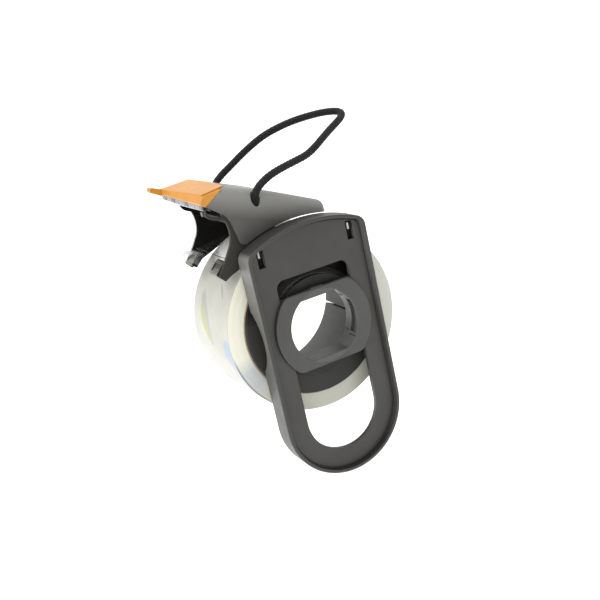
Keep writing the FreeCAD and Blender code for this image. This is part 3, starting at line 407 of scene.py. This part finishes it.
def cardboard():
    """Kraft board in thin turns, with fibres, and painted shade on its inner face."""
    nodes = Nodes("cardboard", 0.82)
    reach = polar(nodes)[0]
    layers = joined(nodes, nodes.sum("MULTIPLY", reach, 4200.0), 0.0, 0.0)
    plies = nodes.noise(1.0, 2.0, 0.5, places=layers)
    fibres = nodes.noise(900.0, 4.0, 0.7, stretch=(0.5, 2.0, 0.5))
    layered = nodes.spread(plies, 0.4, 0.6, 0.0, 1.0)
    body = nodes.blend(layered, (0.30, 0.19, 0.11), (0.46, 0.33, 0.21))
    body = nodes.blend(nodes.spread(fibres, 0.35, 0.7, 0.0, 0.5), body, (0.56, 0.43, 0.29))
    # Painted shade: the core's inner face, against the drum, nearly black.
    inside = nodes.spread(reach, 38.8 * MM, 38.4 * MM, 0.0, 0.9)
    body = nodes.blend(inside, body, (0.03, 0.022, 0.016))
    return nodes.finish(body, nodes.bump(fibres, 0.4, 0.06 * MM))


def clear_film():
    """Clear flexible plastic of the film guide, a little milky and scuffed."""
    nodes = Nodes("clear_film", 0.16)
    normal, edge = nodes.rounded(0.3 * MM)
    scuffs = nodes.noise(700.0, 3.0, 0.6, stretch=(1.0, 0.25, 1.0))
    patches = nodes.noise(230.0, 2.0, 0.5, stretch=(0.3, 1.0, 0.3))
    scuffed = nodes.spread(scuffs, 0.4, 0.7, 0.0, 1.0)
    body = nodes.blend(scuffed, (0.36, 0.35, 0.37), (0.50, 0.50, 0.50))
    body = nodes.blend(nodes.spread(patches, 0.52, 0.6, 0.0, 0.75), body, (0.13, 0.12, 0.12))
    nodes.shader.inputs["Transmission Weight"].default_value = 0.35
    nodes.shader.inputs["IOR"].default_value = 1.46
    gloss = nodes.spread(scuffs, 0.3, 0.7, 0.10, 0.28)
    # Painted highlight on the edges.
    body = nodes.blend(edge, body, (0.62, 0.62, 0.62))
    return nodes.finish(body, nodes.bump(scuffs, 0.15, 0.05 * MM, normal), gloss)


# Where the drawn-off film is creased, from tab to tab.
CREASE_X = -36.9 * MM


def tape_film():
    """The drawn-off film: almost clear, lined, creased between the tabs, milky over the far tab."""
    nodes = Nodes("tape_film", 0.20)
    here = place_and_facing(nodes)[0]
    lines = nodes.noise(240.0, 3.0, 0.6, stretch=(0.2, 3.0, 0.2))
    haze = nodes.noise(90.0, 2.0, 0.5)
    lined = nodes.spread(lines, 0.4, 0.7, 0.0, 1.0)
    body = nodes.blend(lined, (0.62, 0.62, 0.60), (0.74, 0.74, 0.72))
    curled = nodes.sum("MULTIPLY", nodes.spread(here[0], -40.5 * MM, -42.0 * MM, 0.0, 1.0),
                       nodes.spread(here[1], 39.5 * MM, 41.5 * MM, 0.0, 1.0))
    crest = nodes.sum("MULTIPLY", nodes.spread(here[0], -38.5 * MM, -40.0 * MM, 0.0, 1.0),
                      nodes.spread(haze, 0.35, 0.6, 0.01, 0.12))
    milky = nodes.sum("MULTIPLY", curled, nodes.spread(haze, 0.3, 0.6, 0.35, 0.8))
    cover = nodes.sum("MAXIMUM", nodes.spread(lines, 0.45, 0.75, 0.005, 0.035),
                      nodes.sum("MAXIMUM", crest, milky))
    aside = nodes.sum("ABSOLUTE", nodes.sum("SUBTRACT", here[0], CREASE_X))
    crease = nodes.sum("MULTIPLY", nodes.spread(aside, 0.42 * MM, 0.16 * MM, 0.0, 0.62),
                       nodes.spread(lines, 0.30, 0.55, 0.80, 1.0))
    body = nodes.blend(nodes.spread(aside, 0.6 * MM, 0.4 * MM, 0.0, 0.9), body, (0.10, 0.10, 0.10))
    cover = nodes.sum("MAXIMUM", cover, crease)
    nodes.link(cover, nodes.shader.inputs["Alpha"])
    nodes.shader.inputs["IOR"].default_value = 1.35
    return nodes.finish(body, nodes.bump(lines, 0.2, 0.1 * MM))


def steel():
    """Ground spring steel: fine lines along the edge, small stains."""
    nodes = Nodes("steel", 0.30)
    normal, edge = nodes.rounded(0.15 * MM)
    lines = nodes.noise(1800.0, 3.0, 0.6, stretch=(1.0, 0.04, 1.0))
    stains = nodes.noise(140.0, 3.0, 0.6)
    nodes.shader.inputs["Metallic"].default_value = 1.0
    ground = nodes.spread(lines, 0.35, 0.65, 0.0, 1.0)
    body = nodes.blend(ground, (0.42, 0.42, 0.43), (0.62, 0.62, 0.63))
    body = nodes.blend(nodes.spread(stains, 0.6, 0.8, 0.0, 0.4), body, (0.30, 0.29, 0.28))
    gloss = nodes.spread(lines, 0.3, 0.7, 0.22, 0.40)
    # Painted highlight on the edges.
    body = nodes.blend(edge, body, (0.75, 0.75, 0.76))
    return nodes.finish(body, nodes.bump(lines, 0.2, 0.02 * MM, normal), gloss)


def felt():
    """Pressed fibre for the drag washer."""
    nodes = Nodes("felt", 0.95)
    fibres = nodes.noise(1500.0, 5.0, 0.75)
    clumps = nodes.noise(300.0, 2.0, 0.5)
    matted = nodes.spread(fibres, 0.35, 0.65, 0.0, 1.0)
    body = nodes.blend(matted, (0.06, 0.06, 0.065), (0.15, 0.15, 0.16))
    nodes.shader.inputs["Sheen Weight"].default_value = 0.4
    return nodes.finish(body, nodes.bump(nodes.sum("ADD", fibres, clumps), 0.7, 0.2 * MM))


def elastic():
    """Black braided cover of the elastic loop: painted sheen on the threads, and lint."""
    nodes = Nodes("elastic", 0.62)
    threads = nodes.noise(3200.0, 2.0, 0.6)
    lint = nodes.noise(420.0, 3.0, 0.7)
    # Painted sheen: the threads a little lighter in places.
    painted_thread_sheen = nodes.spread(threads, 0.35, 0.65, 0.0, 1.0)
    body = nodes.blend(painted_thread_sheen, (0.003, 0.0033, 0.0033), (0.011, 0.012, 0.012))
    body = nodes.blend(nodes.spread(lint, 0.62, 0.78, 0.0, 0.5), body, (0.035, 0.036, 0.035))
    nodes.shader.inputs["Specular IOR Level"].default_value = 0.25
    relief = nodes.bump(threads, 0.5, 0.05 * MM)
    return nodes.finish(body, relief, nodes.spread(lint, 0.3, 0.7, 0.5, 0.75))


MATERIALS = {
    "shell_grey": moulded_plastic("shell_grey", (0.0275, 0.0265, 0.0225), 0.44,
                                  pale=lit_cutting_side_walls),
    "inner_grey": moulded_plastic("inner_grey", (0.012, 0.012, 0.011), 0.55, gloss=0.3),
    "hood_grey": moulded_plastic("hood_grey", (0.053, 0.051, 0.0455), 0.42, pale=lit_upper_flank),
    "arm_grey": moulded_plastic("arm_grey", (0.038, 0.0365, 0.032), 0.50, gloss=0.07,
                                shade=shaded_inner_faces, depth=0.22, pale=painted_edge_highlights),
    "hub_grey": moulded_plastic("hub_grey", (0.038, 0.0373, 0.035), 0.38, pale=bore_wall),
    "drum_grey": moulded_plastic("drum_grey", (0.108, 0.108, 0.104), 0.48, gloss=0.15,
                                 shade=shaded_front_wall, depth=0.06),
    "orange": moulded_plastic("orange", (0.50, 0.207, 0.013), 0.36, grain=0.02, wear_and_highlight_gain=1.1,
                              pale=lit_upper_faces),
    "tab_grey": moulded_plastic("tab_grey", (0.155, 0.155, 0.135), 0.46, gloss=0.2,
                                shade=tab_shade, depth=0.07),
    "steel": steel(),
    "clear_film": clear_film(),
    "felt": felt(),
    "cardboard": cardboard(),
    "tape": wound_tape(),
    "tape_film": tape_film(),
    "elastic": elastic(),
}


def give(piece, name):
    """Puts one finish on a piece, in place of any other."""
    piece.data.materials.clear()
    piece.data.materials.append(MATERIALS[name])


def new_piece(name, form, body, slot, *nodes):
    """A finished mesh piece, riding on a body and standing for CAD nodes if any are named."""
    mesh = bpy.data.meshes.new(name)
    form.to_mesh(mesh)
    form.free()
    piece = bpy.data.objects.new(name, mesh)
    SCENE.collection.objects.link(piece)
    if body:
        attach(piece, body)
    if nodes:
        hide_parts(*nodes)
    give(piece, slot)
    return piece


# -------------------------------------------------------------------------------------- tape roll


def turned(profile, steps):
    """A closed profile of (radius, y) turned about the hub's axis."""
    form = bmesh.new()
    rows = []
    for step in range(steps):
        angle = 2 * math.pi * step / steps
        across, up = math.cos(angle), math.sin(angle)
        rows.append([form.verts.new((r * across, y, r * up)) for r, y in profile])
    for row, after in zip(rows, rows[1:] + rows[:1]):
        for index in range(len(profile)):
            other = (index + 1) % len(profile)
            face = form.faces.new((row[index], after[index], after[other], row[other]))
            face.smooth = True
    bmesh.ops.recalc_face_normals(form, faces=form.faces)
    return form


def turn_offset(index, phase):
    """How far one turn of the tape stands in from the roll's side: small, and never regular."""
    slow = 0.005 * math.sin(0.53 * index + 2 * phase)
    return (0.01 + 0.005 * math.sin(1.9 * index + phase) + slow) * MM


def make_tape_roll():
    """The wound tape with its turns stepped a little in and out at both sides."""
    low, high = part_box("tape_roll")
    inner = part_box("cardboard_core")[1][0] + 0.05 * MM
    outer = high[0]
    turns = 26
    pitch = (outer - inner) / turns
    near = []
    for index in range(turns):
        y = low[1] + max(turn_offset(index, 0.4), 0.0)
        near += [(inner + (index + 0.06) * pitch, y), (inner + (index + 0.94) * pitch, y)]
    far = []
    for index in reversed(range(turns)):
        y = high[1] - max(turn_offset(index, 2.1), 0.0)
        far += [(inner + (index + 0.94) * pitch, y), (inner + (index + 0.06) * pitch, y)]
    shoulder = [(outer, low[1] + 0.25 * MM), (outer, high[1] - 0.25 * MM)]
    roll = new_piece("wound_roll", turned(near + shoulder + far, 220), "spool", "tape", "tape_roll")
    roll.data.set_sharp_from_angle(angle=math.radians(35))


# -------------------------------------------------------------------------------------- tape film


def make_tape_lead():
    """The drawn-off film: off the roll, over the tabs, curling up at its toothed free end."""
    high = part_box("tape_lead")[1]
    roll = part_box("tape_roll")[1][0] + 0.25 * MM
    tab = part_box("far_tab")
    near_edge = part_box("near_tab")[0][1] + 0.35 * MM
    far_edge = high[1] - 0.3 * MM
    crest = Vector((tab[0][0] + 5.6 * MM, tab[1][2] + 0.5 * MM))
    reach = crest.length
    leave = math.atan2(crest[1], crest[0]) - math.acos(roll / reach)
    turns = (leave - 0.2, leave - 0.1, leave)
    line = [Vector((roll * math.cos(turn), roll * math.sin(turn))) for turn in turns]
    line += [line[-1].lerp(crest, part) for part in (0.2, 0.4, 0.6, 0.8, 0.93)]
    at_crest = len(line)
    line += [crest, crest + Vector((-2.6, -0.35)) * MM, crest + Vector((-5.2, -1.6)) * MM,
             crest + Vector((-8.0, -2.7)) * MM]
    last = len(line) - 1
    columns = 84
    tooth = 1.6 * MM
    form = bmesh.new()
    rows = []
    for index, spot in enumerate(line):
        row = []
        for column in range(columns + 1):
            part = column / columns
            y = near_edge + part * (far_edge - near_edge)
            free = max(0.0, (index - at_crest) / (last - at_crest))
            x = spot[0]
            z = spot[1] + 0.22 * MM * math.sin(9 * part + 1.1 * index) * min(1.0, index / 4) * 0.5
            z += free * MM * (2.4 * max(0.0, part - 0.72) / 0.28 + 0.3 * math.sin(14 * part))
            if index == last:
                x += abs(((y / tooth) % 1.0) - 0.5) * 2.2 * MM
            row.append(form.verts.new((x, y, z)))
        rows.append(row)
    for row, after in zip(rows, rows[1:]):
        for column in range(columns):
            face = form.faces.new((row[column], row[column + 1], after[column + 1], after[column]))
            face.smooth = True
    film = new_piece("drawn_film", form, None, "tape_film", "tape_lead")
    thick = film.modifiers.new("thickness", "SOLIDIFY")
    thick.thickness = 0.06 * MM
    thick.offset = 1.0
    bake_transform(film)


# ------------------------------------------------------------------------------------------- cord

CORD_RADIUS = 2.0 * MM

# How far the middle of the braid lies inside the cord's outer radius.
BRAID_DEPTH = 0.22 * MM

# The points' own radius counts in a curve's bounding box, so it is kept small.
POINT_RADIUS = 1.0 * MM

# The route's points, as in the CAD model: near ferrule, up and round the loop, far ferrule.
CORD_ROUTE = [
    (-16.7, 3.45, 63.64),
    (-16.7, 0.45, 68.84),
    (-16.7, -1.9, 72.9),
    (-14.4, -2.5, 75.8),
    (-9.6, -2.1, 78.5),
    (-3.2, -0.5, 80.2),
    (4.6, 1.8, 81.2),
    (12.2, 4.1, 81.9),
    (18.8, 6.2, 82.6),
    (25.2, 8.6, 84.6),
    (32.2, 11.4, 87.8),
    (39.6, 14.8, 90.8),
    (47.2, 19.0, 93.1),
    (52.6, 23.2, 95.0),
    (54.0, 27.6, 96.3),
    (51.8, 31.4, 97.2),
    (46.0, 35.6, 97.6),
    (37.4, 39.8, 97.1),
    (29.8, 42.8, 96.1),
    (22.6, 45.3, 94.5),
    (15.6, 47.6, 92.3),
    (9.0, 49.8, 89.0),
    (2.0, 51.8, 84.9),
    (-5.0, 53.1, 80.5),
    (-11.2, 53.8, 77.0),
    (-16.7, 53.1, 72.9),
    (-16.7, 50.75, 68.84),
    (-16.7, 47.75, 63.64),
]


def make_cord():
    """The elastic's body, a round curve along the route."""
    curve = bpy.data.curves.new("elastic_loop", "CURVE")
    curve.dimensions = "3D"
    curve.bevel_depth = (CORD_RADIUS - BRAID_DEPTH) / POINT_RADIUS
    curve.bevel_resolution = 5
    curve.use_fill_caps = True
    spline = curve.splines.new("NURBS")
    spline.points.add(len(CORD_ROUTE) - 1)
    for point, (x, y, z) in zip(spline.points, CORD_ROUTE):
        point.co = (x * MM, y * MM, z * MM, 1.0)
        point.radius = POINT_RADIUS
    spline.order_u = 3
    spline.use_endpoint_u = True
    spline.resolution_u = 16
    loop = bpy.data.objects.new("elastic_loop", curve)
    SCENE.collection.objects.link(loop)
    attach(loop, "frame")
    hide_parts("elastic_cord")
    give(loop, "elastic")
    return loop


def spline_points(loop, spacing):
    """Points read from the cord's own spline, evenly spaced along it."""
    copy = loop.data.copy()
    copy.bevel_depth = 0.0
    bare = bpy.data.objects.new("bare_line", copy)
    SCENE.collection.objects.link(bare)
    mesh = bpy.data.meshes.new_from_object(bare)
    line = [vertex.co.copy() for vertex in mesh.vertices]
    bpy.data.objects.remove(bare)
    bpy.data.meshes.remove(mesh)
    bpy.data.curves.remove(copy)
    points = [line[0]]
    left = spacing
    for start, end in zip(line, line[1:]):
        span = (end - start).length
        done = 0.0
        while span - done >= left:
            done += left
            points.append(start.lerp(end, done / span))
            left = spacing
        left -= span - done
    return points


def make_braid(loop):
    """The woven cover: two sets of flat threads wound opposite ways, over and under."""
    spacing = 0.42 * MM
    pitch = 15.0 * MM
    threads = 7
    points = spline_points(loop, spacing)
    form = bmesh.new()
    tangents = []
    for index in range(len(points)):
        before = points[max(index - 1, 0)]
        after = points[min(index + 1, len(points) - 1)]
        tangents.append((after - before).normalized())
    side = tangents[0].orthogonal().normalized()
    frames = []
    for tangent in tangents:
        side = (side - tangent * side.dot(tangent)).normalized()
        frames.append((side, tangent.cross(side)))
    middle = CORD_RADIUS - BRAID_DEPTH
    wave = 0.09 * MM
    half_width = 0.42 * MM
    half_thick = 0.10 * MM
    for way in (-1, 1):
        for thread in range(threads):
            previous = None
            for index, (point, tangent) in enumerate(zip(points, tangents)):
                along = index * spacing
                angle = 2 * math.pi * (way * along / pitch + thread / threads)
                crossing = math.cos(2 * math.pi * threads * along / pitch)
                radius = middle + wave * way * crossing
                first, second = frames[index]
                outward = first * math.cos(angle) + second * math.sin(angle)
                around = second * math.cos(angle) - first * math.sin(angle)
                lean = (tangent * pitch + around * way * 2 * math.pi * middle).normalized()
                across = lean.cross(outward).normalized()
                centre = point + outward * radius
                wide, thick = across * half_width, outward * half_thick
                corners = [wide, thick, -wide, -thick]
                row = [form.verts.new(centre + corner) for corner in corners]
                if previous:
                    for corner in range(4):
                        other = (corner + 1) % 4
                        sides = (previous[corner], row[corner], row[other], previous[other])
                        face = form.faces.new(sides)
                        face.smooth = True
                else:
                    form.faces.new(row)
                previous = row
            form.faces.new(previous[::-1])
    bmesh.ops.recalc_face_normals(form, faces=form.faces)
    return new_piece("cord_braid", form, "frame", "elastic")


# --------------------------------------------------------------------------------- floor and light


# The floor lies low enough for the roll to clear it when the hub is at the bottom of the slot.
FLOOR_DROP = 16 * MM
FLOOR_GLOW = 0.22


def make_floor():
    """A plain pale floor with a slight glow, which keeps its shadow faint."""
    nodes = Nodes("floor", 0.9)
    dust = nodes.noise(3.0, 3.0, 0.5)
    dusty = nodes.spread(dust, 0.4, 0.6, 0.0, 1.0)
    material = nodes.finish(nodes.blend(dusty, (0.975, 0.975, 0.97), (0.99, 0.99, 0.985)))
    nodes.shader.inputs["Emission Color"].default_value = (1.0, 1.0, 1.0, 1.0)
    nodes.shader.inputs["Emission Strength"].default_value = FLOOR_GLOW
    form = bmesh.new()
    bmesh.ops.create_grid(form, x_segments=8, y_segments=8, size=6.0)
    mesh = bpy.data.meshes.new("floor")
    form.to_mesh(mesh)
    form.free()
    floor = bpy.data.objects.new("floor", mesh)
    floor.location = (0, 0, CAD_BOX[0][2] - FLOOR_DROP)
    SCENE.collection.objects.link(floor)
    floor.data.materials.append(material)


def area_light(name, place, aim, width, watts):
    """A round lamp that faces a point."""
    data = bpy.data.lights.new(name, "AREA")
    data.shape = "DISK"
    data.size = width
    data.energy = watts
    lamp = bpy.data.objects.new(name, data)
    lamp.location = place
    lamp.rotation_euler = (Vector(aim) - Vector(place)).to_track_quat("-Z", "Y").to_euler()
    SCENE.collection.objects.link(lamp)


def make_light():
    """Two soft lamps, from the cutting side and from above, in a white surround."""
    centre = (0.0, 0.02, 0.0)
    area_light("key", (-1.3, -0.15, 0.55), centre, 2.6, 11.5)
    area_light("top", (-0.2, 0.4, 1.3), centre, 1.8, 15.0)
    world = bpy.data.worlds.new("studio")
    world.use_nodes = True
    back = world.node_tree.nodes["Background"]
    back.inputs["Color"].default_value = (1.0, 1.0, 1.0, 1.0)
    back.inputs["Strength"].default_value = 1.0
    SCENE.world = world
    SCENE.view_settings.view_transform = "Standard"


# --------------------------------------------------------------------------------------- assembly

make_camera()
for part in frame["record"]["subparts"]:
    give(frame["nodes"][part["node"]], part["material_slot"])
give(frame["nodes"]["spool_drum"], "drum_grey")
give(frame["nodes"]["head_frame"], "arm_grey")
give(frame["nodes"]["hood"], "hood_grey")
make_tape_roll()
make_tape_lead()
cord = make_cord()
braid = make_braid(cord)
make_floor()
make_light()
